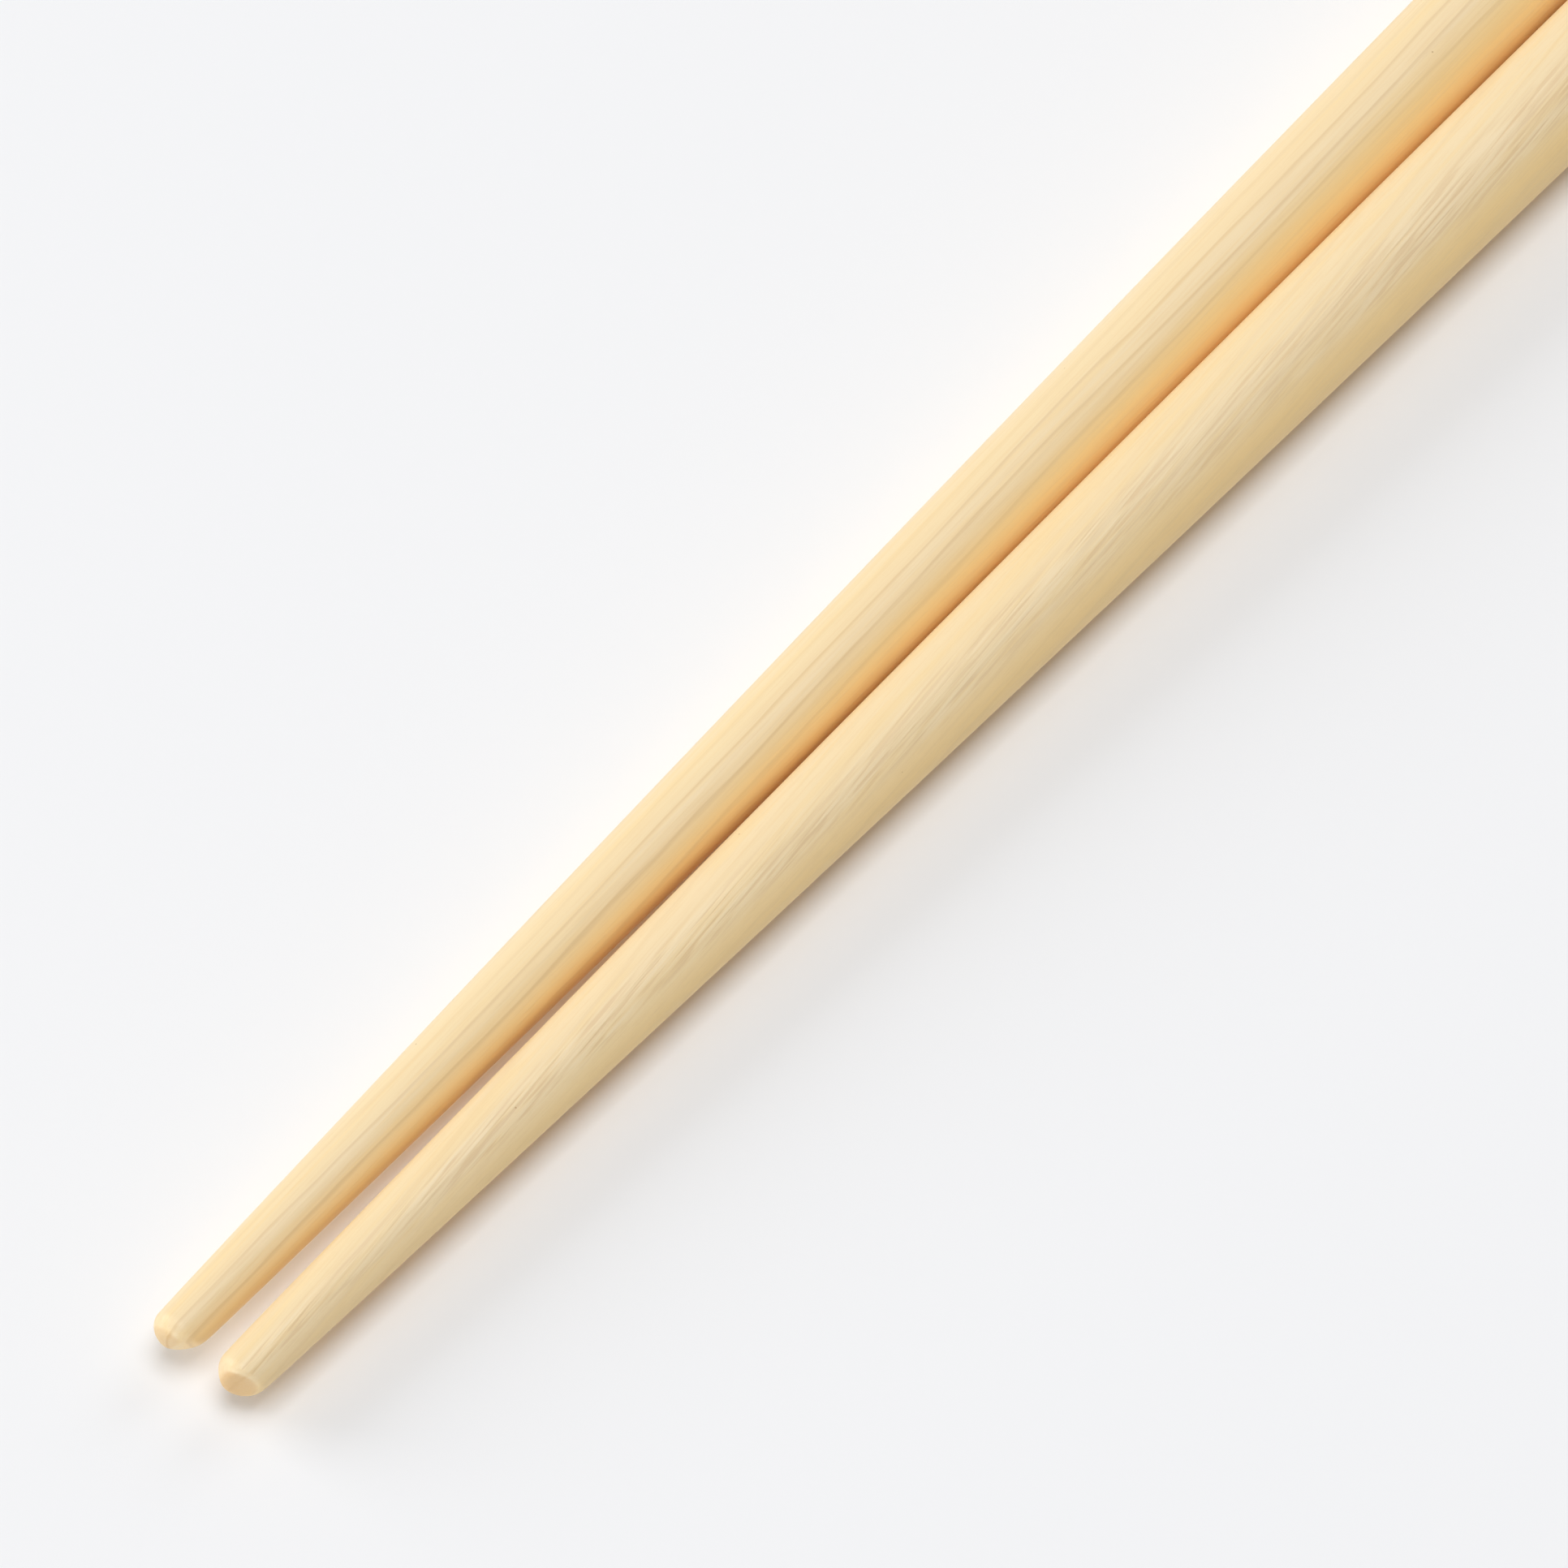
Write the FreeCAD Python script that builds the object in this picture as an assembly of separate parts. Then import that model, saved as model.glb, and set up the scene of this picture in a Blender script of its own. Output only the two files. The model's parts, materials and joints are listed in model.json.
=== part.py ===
import FreeCAD, Part
import math
import os

# A pair of round, tapered wooden chopsticks, laid side by side on a table.
# Each one is a single turned piece of wood. The tips point along -X and the
# butts along +X. The pinch swings the moving chopstick about an upright line
# that stands between the two butts.

# Sizes shared by the pair, in millimetres
LENGTH = 230.0                  # tip face to butt face
TAPER_LENGTH = 170.0            # tip face to where the grip turns straight
TIP_DIAMETER = 3.2              # where the taper would meet the tip face
BUTT_ROUNDING = 0.6             # eased edge round the butt face

# Sizes of each chopstick: they are worked one at a time, so they differ a little
FIXED_GRIP_DIAMETER = 8.0
FIXED_TIP_ROUNDING = 1.2        # leaves a small flat on the end
MOVING_GRIP_DIAMETER = 7.6
MOVING_TIP_ROUNDING = 1.15      # leaves a slightly larger one

# How the pair lies: open a little at the tips, almost touching at the middle
TIP_GAP = 1.7                   # clear space between the two tips
SIDE_GAP = 0.25                 # clear space where the pair is closest

# A rounding never takes more than this share of the end that it is cut on
LARGEST_ROUNDING_SHARE = 0.85

X_AXIS = FreeCAD.Vector(1, 0, 0)
Y_AXIS = FreeCAD.Vector(0, 1, 0)
Z_AXIS = FreeCAD.Vector(0, 0, 1)
TIP_CENTRE = FreeCAD.Vector(0, 0, 0)
BUTT_CENTRE = FreeCAD.Vector(LENGTH, 0, 0)


def taper_rise(grip_diameter):
    """How much the radius grows from the tip to the grip."""
    return (grip_diameter - TIP_DIAMETER) / 2


def radius_at(x, grip_diameter):
    """Radius at a distance from the tip: a parabola that runs level into the grip."""
    left_to_grip = max(0.0, 1 - x / TAPER_LENGTH)
    return grip_diameter / 2 - taper_rise(grip_diameter) * left_to_grip ** 2


def slope_at(x, grip_diameter):
    """Growth of the radius for each millimetre along the chopstick."""
    left_to_grip = max(0.0, 1 - x / TAPER_LENGTH)
    return 2 * taper_rise(grip_diameter) * left_to_grip / TAPER_LENGTH


def end_edge(solid, x):
    """The circular edge round the flat face at one end of a blank."""
    for edge in solid.Edges:
        box = edge.BoundBox
        if abs(box.XMin - x) < 1e-4 and abs(box.XMax - x) < 1e-4:
            return edge


def chopstick(grip_diameter, tip_rounding):
    """One chopstick along +X, with its tip face at the origin."""
    grip_radius = grip_diameter / 2
    tip_radius = TIP_DIAMETER / 2

    # A parabola is a Bezier curve of three points
    taper_curve = Part.BezierCurve()
    taper_curve.setPoles([
        FreeCAD.Vector(0, 0, tip_radius),
        FreeCAD.Vector(TAPER_LENGTH / 2, 0, grip_radius),
        FreeCAD.Vector(TAPER_LENGTH, 0, grip_radius),
    ])
    grip_start = FreeCAD.Vector(TAPER_LENGTH, 0, grip_radius)
    grip_end = FreeCAD.Vector(LENGTH, 0, grip_radius)
    outline = Part.Wire([
        Part.makeLine(TIP_CENTRE, FreeCAD.Vector(0, 0, tip_radius)),
        taper_curve.toShape(),
        Part.makeLine(grip_start, grip_end),
        Part.makeLine(grip_end, BUTT_CENTRE),
        Part.makeLine(BUTT_CENTRE, TIP_CENTRE),
    ])
    blank = Part.Face(outline).revolve(TIP_CENTRE, X_AXIS, 360)

    tip_cut = min(tip_rounding, LARGEST_ROUNDING_SHARE * tip_radius)
    butt_cut = min(BUTT_ROUNDING, LARGEST_ROUNDING_SHARE * grip_radius)
    rounded = blank.makeFillet(tip_cut, [end_edge(blank, 0)])
    rounded = rounded.makeFillet(butt_cut, [end_edge(rounded, LENGTH)])
    return rounded.Solids[0]


def lean_and_height(solid, grip_diameter):
    """The angle that a chopstick lies at, and the height of its tip's centre.

    It rests on the ring of its taper that is under its centre of mass, so
    the tip and the butt both stay clear of the table.
    """
    balance = solid.CenterOfMass.x
    lean = math.atan(slope_at(balance, grip_diameter))
    ring_radius = radius_at(balance, grip_diameter)
    tip_height = ring_radius * math.cos(lean) - balance * math.sin(lean)
    return lean, tip_height


# The pair lies at the angle that leaves TIP_GAP at the tips and SIDE_GAP at
# the closest place, which is where the two tapers run alongside each other.
both_rises = taper_rise(FIXED_GRIP_DIAMETER) + taper_rise(MOVING_GRIP_DIAMETER)
spread = 2 * both_rises / TAPER_LENGTH * (1 - math.sqrt((TIP_GAP - SIDE_GAP) / both_rises))
TURN = math.atan(spread / 2)
TIP_OFFSET = (TIP_DIAMETER + TIP_GAP) / 2


def lay(solid, grip_diameter, side):
    """Where a chopstick lies; side is -1 for the fixed one and +1 for the moving one."""
    lean, tip_height = lean_and_height(solid, grip_diameter)
    leaned = FreeCAD.Rotation(Y_AXIS, -math.degrees(lean))
    turned = FreeCAD.Rotation(Z_AXIS, side * math.degrees(TURN))
    tip_place = FreeCAD.Vector(0, side * TIP_OFFSET, tip_height)
    return FreeCAD.Placement(tip_place, turned.multiply(leaned))


SIZES_OF_EACH = {
    "fixed_chopstick": (FIXED_GRIP_DIAMETER, FIXED_TIP_ROUNDING, -1),
    "moving_chopstick": (MOVING_GRIP_DIAMETER, MOVING_TIP_ROUNDING, 1),
}

solids = {}
places = {}
for node, (grip_diameter, tip_rounding, side) in SIZES_OF_EACH.items():
    solids[node] = chopstick(grip_diameter, tip_rounding)
    places[node] = lay(solids[node], grip_diameter, side)
    solids[node].Placement = places[node]

# The origin is on the table, under the middle of the pair
pair_box = Part.makeCompound(list(solids.values())).optimalBoundingBox(False, False)
to_origin = FreeCAD.Vector(-pair_box.Center.x, -pair_box.Center.y, -pair_box.ZMin)

os.makedirs("parts", exist_ok=True)
for node, solid in solids.items():
    solid.translate(to_origin)
    solid.exportStep("parts/" + node + ".step")

    butt = places[node].multVec(BUTT_CENTRE) + to_origin
    tip = places[node].multVec(TIP_CENTRE) + to_origin
    along = (butt - tip).normalize()
    print(node, "butt", tuple(butt), "tip", tuple(tip), "axis", tuple(along))
    print(node, "valid", solid.isValid(), "volume", solid.Volume, "box", solid.optimalBoundingBox(False, False))

pivot = FreeCAD.Vector(LENGTH * math.cos(TURN), 0, 0) + to_origin
gap = solids["fixed_chopstick"].distToShape(solids["moving_chopstick"])[0]
print("pinch stands at", tuple(pivot), "turn", math.degrees(TURN), "closest", gap)
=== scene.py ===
import json
import math

import bpy
from mathutils import Matrix, Vector, noise


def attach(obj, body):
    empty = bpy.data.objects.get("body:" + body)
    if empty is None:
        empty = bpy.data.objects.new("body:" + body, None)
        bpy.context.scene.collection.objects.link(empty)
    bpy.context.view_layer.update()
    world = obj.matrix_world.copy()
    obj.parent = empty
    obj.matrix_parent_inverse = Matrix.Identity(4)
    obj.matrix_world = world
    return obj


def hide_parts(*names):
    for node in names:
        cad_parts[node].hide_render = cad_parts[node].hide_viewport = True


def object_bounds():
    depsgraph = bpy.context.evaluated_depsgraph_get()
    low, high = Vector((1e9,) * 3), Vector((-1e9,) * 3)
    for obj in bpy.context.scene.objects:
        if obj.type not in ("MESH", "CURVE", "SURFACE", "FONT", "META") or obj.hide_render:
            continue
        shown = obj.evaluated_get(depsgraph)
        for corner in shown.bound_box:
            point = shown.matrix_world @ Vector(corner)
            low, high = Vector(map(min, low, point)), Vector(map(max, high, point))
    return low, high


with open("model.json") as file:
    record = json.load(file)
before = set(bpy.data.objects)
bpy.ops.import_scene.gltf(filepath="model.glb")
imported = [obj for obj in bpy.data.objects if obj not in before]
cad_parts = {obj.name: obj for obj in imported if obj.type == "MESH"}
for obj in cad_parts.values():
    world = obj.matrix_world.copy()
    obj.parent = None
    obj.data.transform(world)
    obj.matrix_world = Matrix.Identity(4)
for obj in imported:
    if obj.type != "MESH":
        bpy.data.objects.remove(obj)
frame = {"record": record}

cad_low, cad_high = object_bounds()

MM = 0.001

# ---------------------------------------------------------------------------
# The turned shape, in millimetres, the same for both chopsticks
# ---------------------------------------------------------------------------
LENGTH = 230.0
TAPER_LENGTH = 170.0        # tip face to where the grip turns straight
TIP_RADIUS = 1.6
BUTT_ROUNDING = 0.6

# Sanding never leaves a turned stick perfectly true
SEGMENTS = 128              # points round the stick
FACE_RINGS = 10             # rings across each end face
TIP_ARC_RINGS = 16          # rings round the edge of the tip, and of the butt
BUTT_ARC_RINGS = 8
FIRST_STEP = 0.1            # ring spacing along the shaft: it grows from the tip
STEP_GROWTH = 1.15
LONG_STEP = 0.8
WAVER = 0.012               # slow swell of the radius left by the hand
WAVER_RUN = 18.0
OVAL = 0.015                # how far each section is from a circle
OVAL_RUN = 30.0
NOSE_DROP = 0.05            # extra wear in the last few millimetres of the tip
NOSE_DROP_LENGTH = 4.0
NOSE_LENGTH = 8.0           # as far as the flats sanded on the tip may reach
STROKE_SOFTNESS = 0.2       # how gently a flat runs into the round of the tip

# The tree that the wood came from
RING_WIDTH = 1.15           # growth rings of slow-grown cypress
RINGS_TO_PITH = 159         # far out in the trunk, so rings look flat; the count also sets which
                            # years are strong, and puts two in the middle of the moving stick
PITH_DISTANCE = RINGS_TO_PITH * RING_WIDTH
TRUNK_SHIFT = 40.0          # how far up the trunk each unit of a stick's seed moves it


def from_hex(code):
    """Linear colour of an sRGB hex value."""
    channels = [int(code[i:i + 2], 16) / 255 for i in (1, 3, 5)]
    linear = [c / 12.92 if c <= 0.04045 else ((c + 0.055) / 1.055) ** 2.4 for c in channels]
    return (*linear, 1.0)


# ---------------------------------------------------------------------------
# Mesh of one chopstick
# ---------------------------------------------------------------------------
def turned_radius(x, grip_radius):
    """Radius at a distance from the tip: a parabola that runs level into the grip."""
    left_to_grip = max(0.0, 1 - x / TAPER_LENGTH)
    worn = NOSE_DROP * math.exp(-x / NOSE_DROP_LENGTH)
    return grip_radius - (grip_radius - TIP_RADIUS) * left_to_grip ** 2 - worn


def rounded_end(edge_x, inward, radius_of, rounding, arc_rings):
    """Outline points from the middle of an end face, out and round its edge."""
    rim = radius_of(edge_x + inward * rounding)
    flat = rim - rounding
    points = [(edge_x, flat * k / FACE_RINGS) for k in range(1, FACE_RINGS + 1)]
    for k in range(1, arc_rings + 1):
        angle = math.pi / 2 * k / arc_rings
        x = edge_x + inward * rounding * (1 - math.cos(angle))
        points.append((x, flat + rounding * math.sin(angle)))
    return points


def outline(grip_radius, tip_rounding):
    """(distance from tip, radius) of every ring, from the tip's middle to the butt's."""
    def radius_of(x):
        return turned_radius(x, grip_radius)

    tip = rounded_end(0, 1, radius_of, tip_rounding, TIP_ARC_RINGS)
    butt = rounded_end(LENGTH, -1, radius_of, BUTT_ROUNDING, BUTT_ARC_RINGS)
    shaft = []
    x = tip_rounding
    step = FIRST_STEP
    while x + step < LENGTH - BUTT_ROUNDING:
        x += step
        shaft.append((x, radius_of(x)))
        step = min(step * STEP_GROWTH, LONG_STEP)
    return tip + shaft + butt[::-1]


def sanded(point, strokes):
    """Moves a point of the nose back to the flats that sanding has cut on it.

    Each flat faces the way the tip points, turned towards -Y and then lifted, in
    degrees, and lies at its depth from the middle of the tip's end.
    """
    for turn, lift, depth in strokes:
        turn, lift = math.radians(turn), math.radians(lift)
        level = math.cos(lift)
        outward = Vector((-math.cos(turn) * level, -math.sin(turn) * level, math.sin(lift)))
        above = (outward.dot(point) - depth) / STROKE_SOFTNESS
        point = point - outward * STROKE_SOFTNESS * math.log1p(math.exp(above))
    return point


def up_turned_by(angle):
    """Y and Z of straight up turned towards +Y, by an angle in degrees."""
    return math.sin(math.radians(angle)), math.cos(math.radians(angle))


def split_from_trunk(mesh, ring_tilt, slope, slope_face, seed):
    """Stores on each point where it lay in the trunk, in millimetres, and how it was cut.

    "in_the_trunk" holds the place along the fibres, out from the pith and round it.
    "end_grain" is 1 where the surface cuts straight across the fibres, "sanded_side"
    is 1 on the side where the fibres run out at a slant and sanding has lifted them,
    and "pith_side_shade_depth" is how far a point lies from the stick's own middle line towards
    the pith; with these ring tilts that is the side turned away from the window light,
    and it is used only to place painted warm shade. Angles are in degrees: ring_tilt is the way out from
    the pith, from straight up towards +Y, and slope is how far the fibres leave the stick's own line,
    seen square on at slope_face, an angle like ring_tilt.
    """
    face = Vector((0, *up_turned_by(slope_face)))
    fibre = Matrix.Rotation(math.radians(slope), 3, face) @ Vector((1, 0, 0))
    from_pith = Vector((0, *up_turned_by(ring_tilt)))
    outward = (from_pith - fibre * from_pith.dot(fibre)).normalized()
    sideways = fibre.cross(outward)
    places, ends, sides, depths = [], [], [], []
    for vertex, normal in zip(mesh.vertices, mesh.vertex_normals):
        point = vertex.co
        out, side = outward.dot(point), sideways.dot(point)
        ring_depth = math.hypot(PITH_DISTANCE + out, side) - PITH_DISTANCE
        places += [fibre.dot(point) + TRUNK_SHIFT * seed, ring_depth, side]
        ends.append(abs(normal.vector.dot(fibre)))
        sides.append(max(0.0, normal.vector.dot(face)))
        depths.append(-from_pith.dot(point))
    mesh.attributes.new("in_the_trunk", "FLOAT_VECTOR", "POINT").data.foreach_set("vector", places)
    for attribute, values in (("end_grain", ends), ("sanded_side", sides), ("pith_side_shade_depth", depths)):
        mesh.attributes.new(attribute, "FLOAT", "POINT").data.foreach_set("value", values)


def chopstick(name, grip_radius, tip_rounding, strokes, wood, seed):
    """A closed mesh in millimetres along +X from the middle of the tip."""
    rings = outline(grip_radius, tip_rounding)
    verts = [Vector((0, 0, 0))]
    for x, radius in rings:
        swell = WAVER * noise.noise(Vector((x / WAVER_RUN, seed, 0)))
        share = min(1.0, radius / TIP_RADIUS)      # fades out towards the middle of an end face
        for k in range(SEGMENTS):
            angle = 2 * math.pi * k / SEGMENTS
            place = Vector((x / OVAL_RUN, math.cos(angle) + seed, math.sin(angle)))
            r = radius + (swell + OVAL * noise.noise(place)) * share
            verts.append(Vector((x, r * math.cos(angle), r * math.sin(angle))))
    verts.append(Vector((LENGTH, 0, 0)))
    verts = [sanded(v, strokes) if v.x < NOSE_LENGTH else v for v in verts]

    faces = []
    for k in range(SEGMENTS):
        faces.append((0, 1 + (k + 1) % SEGMENTS, 1 + k))
    for ring in range(len(rings) - 1):
        start = 1 + ring * SEGMENTS
        for k in range(SEGMENTS):
            after = (k + 1) % SEGMENTS
            faces.append((start + k, start + after, start + SEGMENTS + after, start + SEGMENTS + k))
    last = 1 + (len(rings) - 1) * SEGMENTS
    for k in range(SEGMENTS):
        faces.append((len(verts) - 1, last + k, last + (k + 1) % SEGMENTS))

    mesh = bpy.data.meshes.new(name)
    mesh.from_pydata(verts, [], faces)
    mesh.shade_smooth()
    split_from_trunk(mesh, seed=seed, **wood)
    piece = bpy.data.objects.new(name, mesh)
    bpy.context.scene.collection.objects.link(piece)
    return piece


def mount_of(name):
    """A mount of the CAD part, with its place in metres and its axis."""
    return next(m for m in frame["record"]["mounts"] if m["name"] == name)


def lay_on_table(mesh, butt_mount):
    """Moves a mesh made in millimetres along +X to its CAD place in metres, by its butt face."""
    along = Vector(butt_mount["axis"]).normalized()
    across = Vector((0, 0, 1)).cross(along).normalized()
    up = along.cross(across)
    tip = Vector(butt_mount["pos_m"]) - along * LENGTH * MM
    turn = Matrix((along, across, up)).transposed().to_4x4()
    mesh.transform(Matrix.Translation(tip) @ turn @ Matrix.Scale(MM, 4))


# ---------------------------------------------------------------------------
# Materials
# ---------------------------------------------------------------------------
def add_node(tree, kind, settings, links=None, output=0):
    """Adds a node with its properties, socket values and links, and returns one of its outputs."""
    node = tree.nodes.new(kind)
    for key, value in settings.items():
        if isinstance(key, int) or key in node.inputs:
            node.inputs[key].default_value = value
        else:
            setattr(node, key, value)
    for key, source in (links or {}).items():
        tree.links.new(source, node.inputs[key])
    return node.outputs[output]


RING_WANDER = 0.7           # how far a ring strays sideways along the stick
WANDER_RUN = 45.0
WANDER_WIDTH = 5.0
SUMMER_STARTS = 0.68        # shares of a ring: the dark line comes in slowly and ends sharply
SUMMER_FULL = 0.88
WINTER_STARTS = 0.90
FIBRE_WIDTH = 0.14          # bundles of fibres; single ones, 0.03 mm, are too fine to show
FIBRE_RUN = 6.0
GOLDEN_WIDTH = 0.5          # long yellow streaks, about half a ring wide
GOLDEN_RUN = 45.0
LIFTED_WIDTH = 0.20         # fibres that sanding has lifted, as thin lines
LIFTED_RUN = 5.0
LIFTED_AREA_WIDTH = 1.6     # areas where more of them have lifted
LIFTED_AREA_RUN = 12.0
PATCH_WIDTH = 2.2           # slow change between creamier and pinker wood
PATCH_RUN = 30.0
SPECK_CELL = 1.6            # one spot of resin or dust at most in each cell of this width
SPECK_SIZE = 0.16
END_STARTS = 0.72           # how squarely the fibres are cut where the surface shows as end grain
END_FULL = 0.90
PAINTED_GOLD_STARTS = 0.1          # painted warm shade: how far from the middle line towards the pith, the side away from the window light, the wood is painted golden
PAINTED_GOLD_FULL = 2.4
ROUGHNESS = 0.42            # a silky sheen; dull fibres and end grain add to it
FIBRE_ROUGHER = 0.10
END_ROUGHER = 0.15
FIBRE_RELIEF = 0.006        # heights on the surface
RING_RELIEF = 0.004
LIFTED_RELIEF = -0.020      # a gap under a lifted fibre, and the fibre beside it
BESIDE_RELIEF = 0.015

SPRING_CREAM = from_hex("#F7DFB1")
SPRING_PALE = from_hex("#F6DFB5")
SPRING_PINK = from_hex("#F7DDB0")
PAINTED_SHADE_GOLD = from_hex("#FDD890")   # painted warm shade: golden on the side of each stick away from the window light, where the gap and the shaded flank are
GOLDEN_STREAK = from_hex("#F9DA9E")
SUMMER_WOOD = from_hex("#DDBB88")
FIBRE_SHADE = from_hex("#F0D09A")
# painted shade in the gap under a lifted fibre, and painted highlight on the fibre beside it
LIFTED_GAP_PAINTED_SHADE = from_hex("#DDB88A")
LIFTED_FIBRE_PAINTED_HIGHLIGHT = from_hex("#FFEBC6")
END_GRAIN = from_hex("#E2B87E")
SPECK_BROWN = from_hex("#B58A58")


def sanded_cypress(name, ring_strength, lifted_strength, end_strength):
    """Bare Japanese cypress, turned and sanded fine, with no oil or varnish.

    The eye gets a pale cream wood with a soft silky sheen and no clear reflections,
    faint growth lines that run nearly straight, short fine fibres, a few specks, and
    tips a little more golden, where light sinks into the cut ends of the fibres.
    """
    material = bpy.data.materials.new(name)
    material.use_nodes = True
    tree = material.node_tree
    shader = tree.nodes["Principled BSDF"]
    trunk = add_node(tree, "ShaderNodeAttribute", {"attribute_name": "in_the_trunk"}, output="Vector")
    end_grain = add_node(tree, "ShaderNodeAttribute", {"attribute_name": "end_grain"}, output="Fac")
    side = add_node(tree, "ShaderNodeAttribute", {"attribute_name": "sanded_side"}, output="Fac")
    pith_side_shade_depth = add_node(tree, "ShaderNodeAttribute", {"attribute_name": "pith_side_shade_depth"}, output="Fac")

    def streaks(run, width, low, high, to_low=0.0, to_high=1.0, detail=1.0, shift=0.0):
        """Lines drawn out along the fibres; run and width are their real size in millimetres.

        The noise is about 0.5 on average: low and below becomes to_low, high and above to_high.
        """
        place = add_node(
            tree, "ShaderNodeVectorMath",
            {"operation": "MULTIPLY_ADD", 1: (1 / run, 1 / width, 1 / width), 2: (shift, shift, shift)},
            {0: trunk},
        )
        noise_value = add_node(
            tree, "ShaderNodeTexNoise", {"Scale": 1.0, "Detail": detail, "Roughness": 0.55},
            {"Vector": place})
        return add_node(
            tree, "ShaderNodeMapRange",
            {"interpolation_type": "SMOOTHSTEP", "From Min": low, "From Max": high,
             "To Min": to_low, "To Max": to_high},
            {"Value": noise_value},
        )

    # Growth rings: pale spring wood that ends in a thin summer line, stronger in some years
    out = add_node(tree, "ShaderNodeSeparateXYZ", {}, {0: trunk}, output="Y")
    wander = streaks(WANDER_RUN, WANDER_WIDTH, 0.2, 0.8, -RING_WANDER / 2, RING_WANDER / 2, detail=4.0)
    out = add_node(tree, "ShaderNodeMath", {"operation": "ADD"}, {0: out, 1: wander})
    years = add_node(
        tree, "ShaderNodeMath",
        {"operation": "MULTIPLY_ADD", 1: 1 / RING_WIDTH, 2: RINGS_TO_PITH}, {0: out})
    year = add_node(tree, "ShaderNodeMath", {"operation": "FLOOR"}, {0: years})
    season = add_node(tree, "ShaderNodeMath", {"operation": "FRACT"}, {0: years})
    summer = add_node(
        tree, "ShaderNodeMapRange",
        {"interpolation_type": "SMOOTHSTEP", "From Min": SUMMER_STARTS, "From Max": SUMMER_FULL},
        {"Value": season})
    winter = add_node(
        tree, "ShaderNodeMapRange",
        {"interpolation_type": "SMOOTHSTEP", "From Min": WINTER_STARTS, "From Max": 1.0,
         "To Min": 1.0, "To Max": 0.0},
        {"Value": season})
    strong_year = add_node(tree, "ShaderNodeTexWhiteNoise", {"noise_dimensions": "1D"}, {"W": year})
    ring = add_node(tree, "ShaderNodeMath", {"operation": "MULTIPLY"}, {0: summer, 1: winter})
    how_strong = add_node(
        tree, "ShaderNodeMath", {"operation": "MULTIPLY_ADD", 1: 0.8, 2: 0.2}, {0: strong_year})
    ring = add_node(tree, "ShaderNodeMath", {"operation": "MULTIPLY"}, {0: ring, 1: how_strong})
    cut_across = add_node(
        tree, "ShaderNodeMapRange",
        {"interpolation_type": "SMOOTHSTEP", "From Min": END_STARTS, "From Max": END_FULL},
        {"Value": end_grain})
    ring_shade = add_node(
        tree, "ShaderNodeMath", {"operation": "MULTIPLY_ADD", 1: 0.4, 2: ring_strength}, {0: cut_across})
    ring_shade = add_node(
        tree, "ShaderNodeMath", {"operation": "MULTIPLY", "use_clamp": True}, {0: ring, 1: ring_shade})

    # Lifted fibres: each is a fine dark line beside a light one, on one side of the stick; the dark line
    # is painted shade in the gap under the fibre and the light one a painted highlight on the fibre beside
    # it, laid over their relief
    lifted_side = add_node(
        tree, "ShaderNodeMapRange",
        {"interpolation_type": "SMOOTHSTEP", "From Min": math.cos(math.radians(30)),
         "From Max": math.cos(math.radians(10)), "To Max": lifted_strength},
        {"Value": side})
    lifted_here = streaks(LIFTED_AREA_RUN, LIFTED_AREA_WIDTH, 0.35, 0.60, to_low=0.6, shift=5.0)
    lifted_here = add_node(
        tree, "ShaderNodeMath", {"operation": "MULTIPLY"}, {0: lifted_here, 1: lifted_side})
    lifted = streaks(LIFTED_RUN, LIFTED_WIDTH, 0.50, 0.64, to_high=0.36, shift=11.0)
    lifted = add_node(tree, "ShaderNodeMath", {"operation": "MULTIPLY"}, {0: lifted, 1: lifted_here})
    beside = streaks(LIFTED_RUN, LIFTED_WIDTH, 0.36, 0.50, to_low=0.36, to_high=0.0, shift=11.0)
    beside = add_node(tree, "ShaderNodeMath", {"operation": "MULTIPLY"}, {0: beside, 1: lifted_here})

    # Specks: a small round spot in a few of the cells
    speck_place = add_node(
        tree, "ShaderNodeVectorMath", {"operation": "SCALE", "Scale": 1 / SPECK_CELL}, {0: trunk})
    to_speck = add_node(
        tree, "ShaderNodeTexVoronoi", {"Scale": 1.0}, {"Vector": speck_place}, output="Distance")
    which = to_speck.node.outputs["Color"]
    which = add_node(tree, "ShaderNodeMath", {"operation": "GREATER_THAN", 1: 0.80}, {0: which})
    speck = add_node(
        tree, "ShaderNodeMapRange",
        {"interpolation_type": "SMOOTHSTEP", "From Min": 0.25 * SPECK_SIZE / SPECK_CELL,
         "From Max": 0.5 * SPECK_SIZE / SPECK_CELL, "To Min": 0.6, "To Max": 0.0},
        {"Value": to_speck})
    speck = add_node(tree, "ShaderNodeMath", {"operation": "MULTIPLY"}, {0: speck, 1: which})

    # Each layer of colour goes over the ones before it, as strongly as its pattern says
    fibres = streaks(FIBRE_RUN, FIBRE_WIDTH, 0.42, 0.75, detail=3.0)
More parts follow.
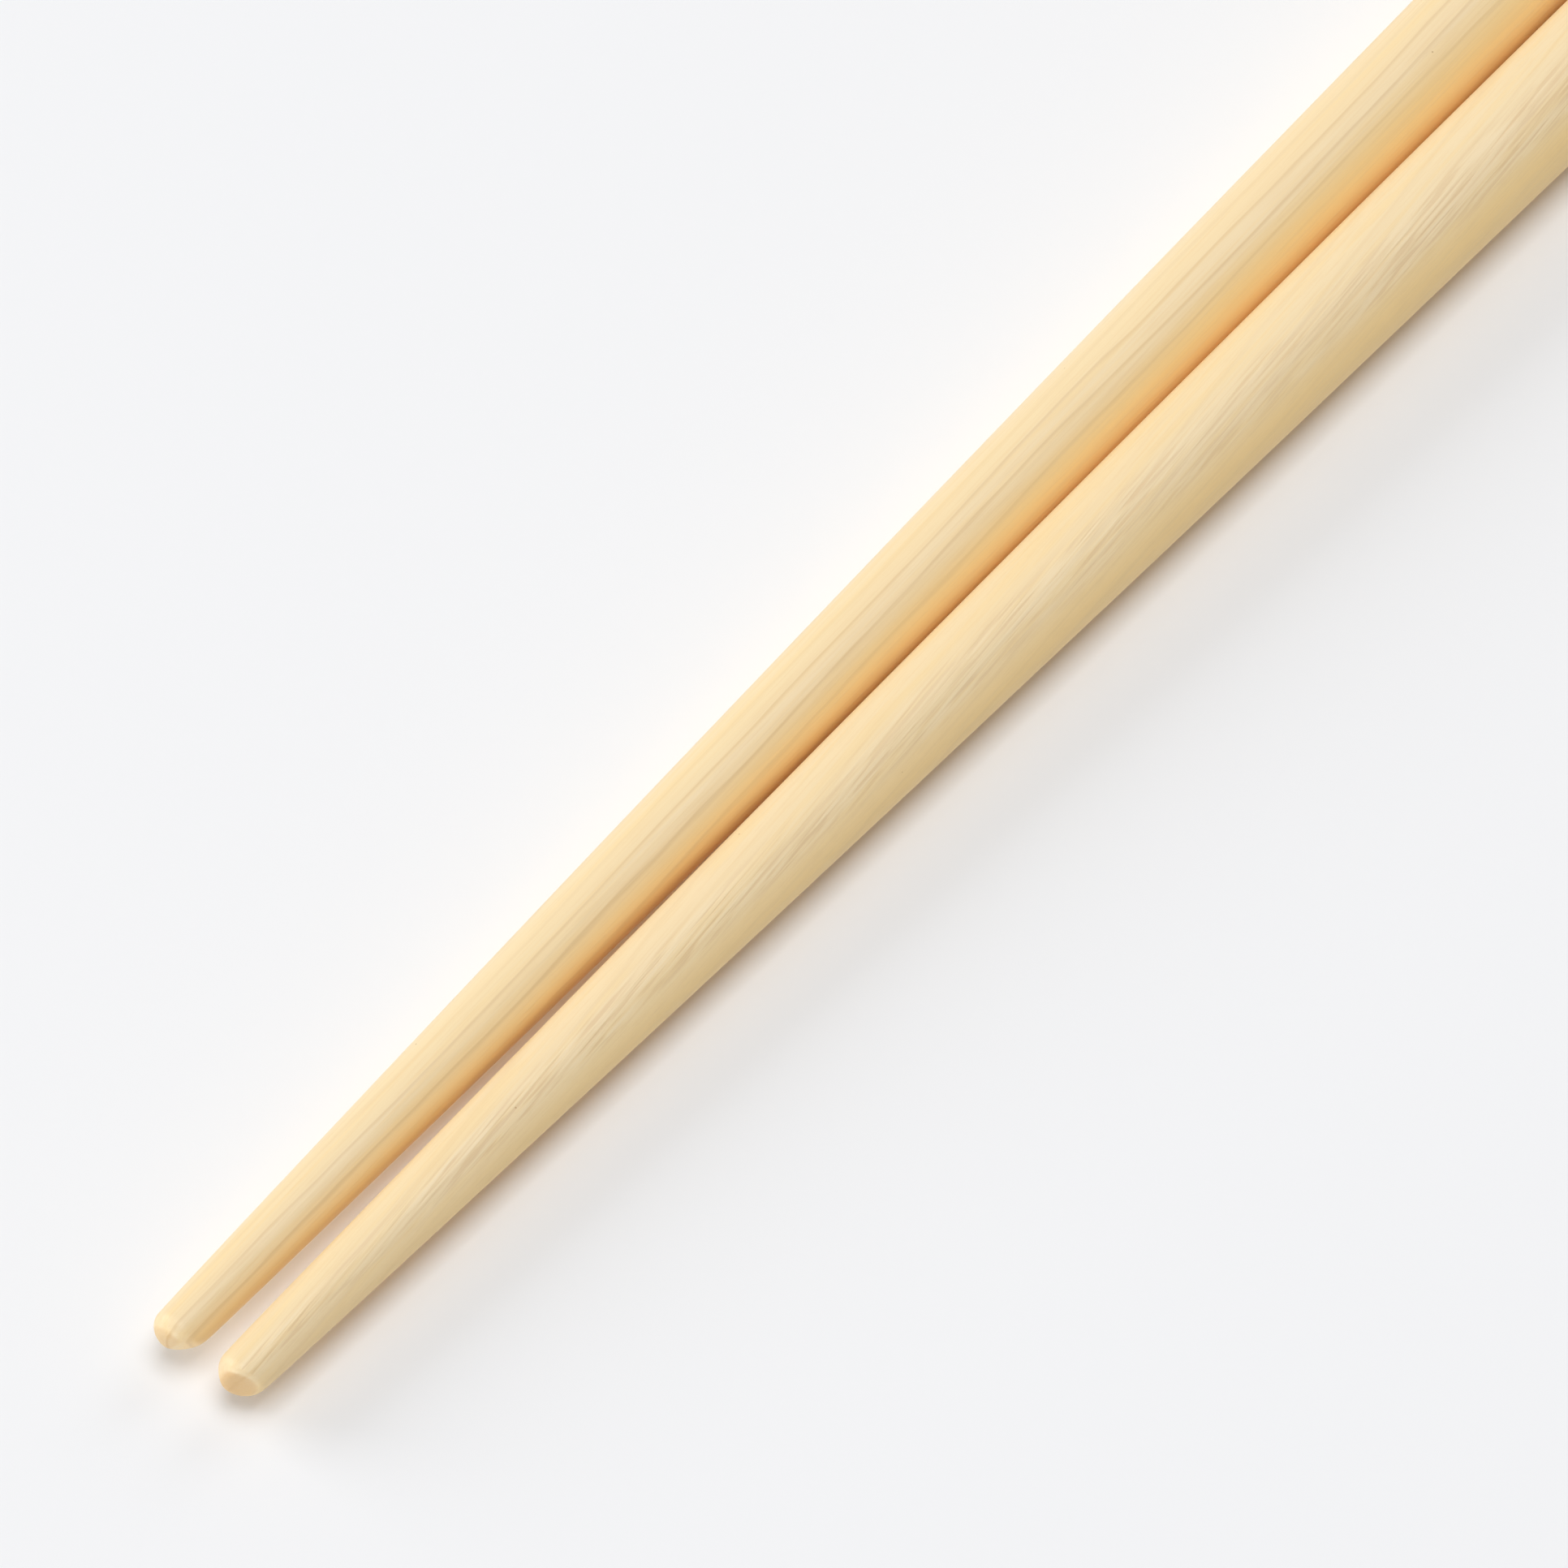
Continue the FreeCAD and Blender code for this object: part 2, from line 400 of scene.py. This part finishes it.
    # Painted warm shade: each stick is painted golden on its side towards the pith, the side away from the
    # window light, which for the moving stick faces the gap between the sticks
    painted_gold_side = add_node(
        tree, "ShaderNodeMapRange",
        {"interpolation_type": "SMOOTHSTEP", "From Min": PAINTED_GOLD_STARTS, "From Max": PAINTED_GOLD_FULL,
         "To Max": 0.8},
        {"Value": pith_side_shade_depth})
    fibre_shade = add_node(tree, "ShaderNodeMath", {"operation": "MULTIPLY", 1: 0.35}, {0: fibres})
    end_shade = add_node(
        tree, "ShaderNodeMath", {"operation": "MULTIPLY", 1: end_strength}, {0: cut_across})
    colour = add_node(
        tree, "ShaderNodeMix", {"data_type": "RGBA", 6: SPRING_CREAM, 7: SPRING_PALE},
        {0: strong_year}, output=2)
    for amount, layer in (
        (streaks(PATCH_RUN, PATCH_WIDTH, 0.35, 0.65, to_high=0.5, shift=3.0), SPRING_PINK),
        # painted warm shade on the side away from the window light
        (painted_gold_side, PAINTED_SHADE_GOLD),
        (streaks(GOLDEN_RUN, GOLDEN_WIDTH, 0.50, 0.66, to_high=0.35, shift=7.0), GOLDEN_STREAK),
        (ring_shade, SUMMER_WOOD),
        (fibre_shade, FIBRE_SHADE),
        # painted shade and painted highlight of the lifted fibres
        (lifted, LIFTED_GAP_PAINTED_SHADE),
        (beside, LIFTED_FIBRE_PAINTED_HIGHLIGHT),
        (end_shade, END_GRAIN),
        (speck, SPECK_BROWN),
    ):
        colour = add_node(
            tree, "ShaderNodeMix", {"data_type": "RGBA", 7: layer}, {0: amount, 6: colour}, output=2)
    tree.links.new(colour, shader.inputs["Base Color"])

    # Sheen and relief
    rough = add_node(
        tree, "ShaderNodeMath", {"operation": "MULTIPLY_ADD", 1: FIBRE_ROUGHER, 2: ROUGHNESS}, {0: fibres})
    rough = add_node(
        tree, "ShaderNodeMath", {"operation": "MULTIPLY_ADD", 1: END_ROUGHER}, {0: cut_across, 2: rough})
    tree.links.new(rough, shader.inputs["Roughness"])
    height = add_node(tree, "ShaderNodeMath", {"operation": "MULTIPLY", 1: FIBRE_RELIEF}, {0: fibres})
    for pattern, relief in ((ring, RING_RELIEF), (lifted, LIFTED_RELIEF), (beside, BESIDE_RELIEF)):
        height = add_node(
            tree, "ShaderNodeMath", {"operation": "MULTIPLY_ADD", 1: relief}, {0: pattern, 2: height})
    bump = add_node(tree, "ShaderNodeBump", {"Strength": 1.0, "Distance": MM}, {"Height": height})
    tree.links.new(bump, shader.inputs["Normal"])

    shader.inputs["IOR"].default_value = 1.5
    return material


# ---------------------------------------------------------------------------
# Build
# ---------------------------------------------------------------------------
# "strokes" are the flats on the tip, for sanded(); "wood" is how the stick lay in the trunk,
# for split_from_trunk(); "look" is how strongly the patterns show, for sanded_cypress()
PAIR = [
    {
        "body": "fixed_chopstick", "mount": "fixed_butt", "grip_radius": 4.0, "tip_rounding": 1.2,
        "strokes": [(35, 0, -0.15), (-33, 15, 0.28)],
        "wood": {"ring_tilt": 60, "slope": 5, "slope_face": -26},
        "look": {"ring_strength": 0.15, "lifted_strength": 1.0, "end_strength": 0.75}, "seed": 3.1,
    },
    {
        "body": "moving_chopstick", "mount": "moving_butt", "grip_radius": 3.8, "tip_rounding": 1.15,
        "strokes": [(45, -20, 0.28)],
        "wood": {"ring_tilt": 80, "slope": 0.6, "slope_face": -20},
        "look": {"ring_strength": 0.48, "lifted_strength": 0.2, "end_strength": 0.40}, "seed": 8.7,
    },
]
for stick in PAIR:
    body = stick["body"]
    piece = chopstick(body + "_wood", stick["grip_radius"], stick["tip_rounding"],
                      stick["strokes"], stick["wood"], stick["seed"])
    lay_on_table(piece.data, mount_of(stick["mount"]))
    piece.data.materials.append(sanded_cypress("sanded_cypress_of_" + body, **stick["look"]))
    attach(piece, body)
    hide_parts(body)


# ---------------------------------------------------------------------------
# Table, light and camera
# ---------------------------------------------------------------------------
TABLE_HALF = 3.0
WORLD_STRENGTH = 0.27
LAMP_DISTANCE = 2.4
AIM_FROM_TIPS = 0.0558      # camera and lamps aim about a quarter of the way from the tips
AIM_ACROSS = 0.0015         # and a little towards the moving chopstick
CAMERA_AZIMUTH = -140.0
CAMERA_ELEVATION = 56.0
CAMERA_DISTANCE = 0.65
CAMERA_LENS = 241.5


def table_top():
    """A large matt white board, with its top at the height that the chopsticks rest on."""
    mesh = bpy.data.meshes.new("table_top")
    half = TABLE_HALF
    corners = [(-half, -half, 0), (half, -half, 0), (half, half, 0), (-half, half, 0)]
    mesh.from_pydata(corners, [], [(0, 1, 2, 3)])
    table = bpy.data.objects.new("table_top", mesh)
    bpy.context.scene.collection.objects.link(table)
    material = bpy.data.materials.new("matt_white_board")
    material.use_nodes = True
    shader = material.node_tree.nodes["Principled BSDF"]
    shader.inputs["Base Color"].default_value = (0.90, 0.905, 0.92, 1)
    shader.inputs["Roughness"].default_value = 0.9
    shader.inputs["Specular IOR Level"].default_value = 0.1
    mesh.materials.append(material)


def face_the_tips(thing, azimuth, elevation, distance):
    """Puts the camera or a lamp in place; azimuth 0 is towards +X and 90 towards +Y."""
    level, high_up = math.radians(azimuth), math.radians(elevation)
    back = Vector((math.cos(level) * math.cos(high_up), math.sin(level) * math.cos(high_up),
                   math.sin(high_up)))
    thing.location = aim + back * distance
    thing.rotation_mode = "QUATERNION"
    thing.rotation_quaternion = back.to_track_quat("Z", "Y")
    bpy.context.scene.collection.objects.link(thing)


def softbox(name, azimuth, elevation, size, watts):
    """A square soft white light."""
    light = bpy.data.lights.new(name, "AREA")
    light.shape = "SQUARE"
    light.size = size
    light.energy = watts
    lamp = bpy.data.objects.new(name, light)
    lamp.visible_camera = False
    face_the_tips(lamp, azimuth, elevation, LAMP_DISTANCE)


aim = Vector((cad_low.x + AIM_FROM_TIPS, AIM_ACROSS, 0.0))
table_top()

world = bpy.data.worlds.new("white_room")
world.use_nodes = True
background = world.node_tree.nodes["Background"]
background.inputs["Color"].default_value = (1, 1, 1, 1)
background.inputs["Strength"].default_value = WORLD_STRENGTH
bpy.context.scene.world = world
softbox("window_side", 105, 27, size=1.4, watts=24.5)
softbox("overhead", 270, 86, size=1.4, watts=27.2)
softbox("from_the_tips", 180, 15, size=1.2, watts=16.0)
softbox("from_the_butts", 0, 35, size=1.2, watts=6.4)
# Light goes back and forth many times in the narrow gap between two pale sticks
bpy.context.scene.cycles.diffuse_bounces = 16
bpy.context.scene.cycles.max_bounces = 18

camera = bpy.data.cameras.new("camera")
camera.sensor_width = 36.0
camera.lens = CAMERA_LENS
viewer = bpy.data.objects.new("camera", camera)
face_the_tips(viewer, CAMERA_AZIMUTH, CAMERA_ELEVATION, CAMERA_DISTANCE)
bpy.context.scene.camera = viewer
bpy.context.scene.view_settings.view_transform = "Standard"
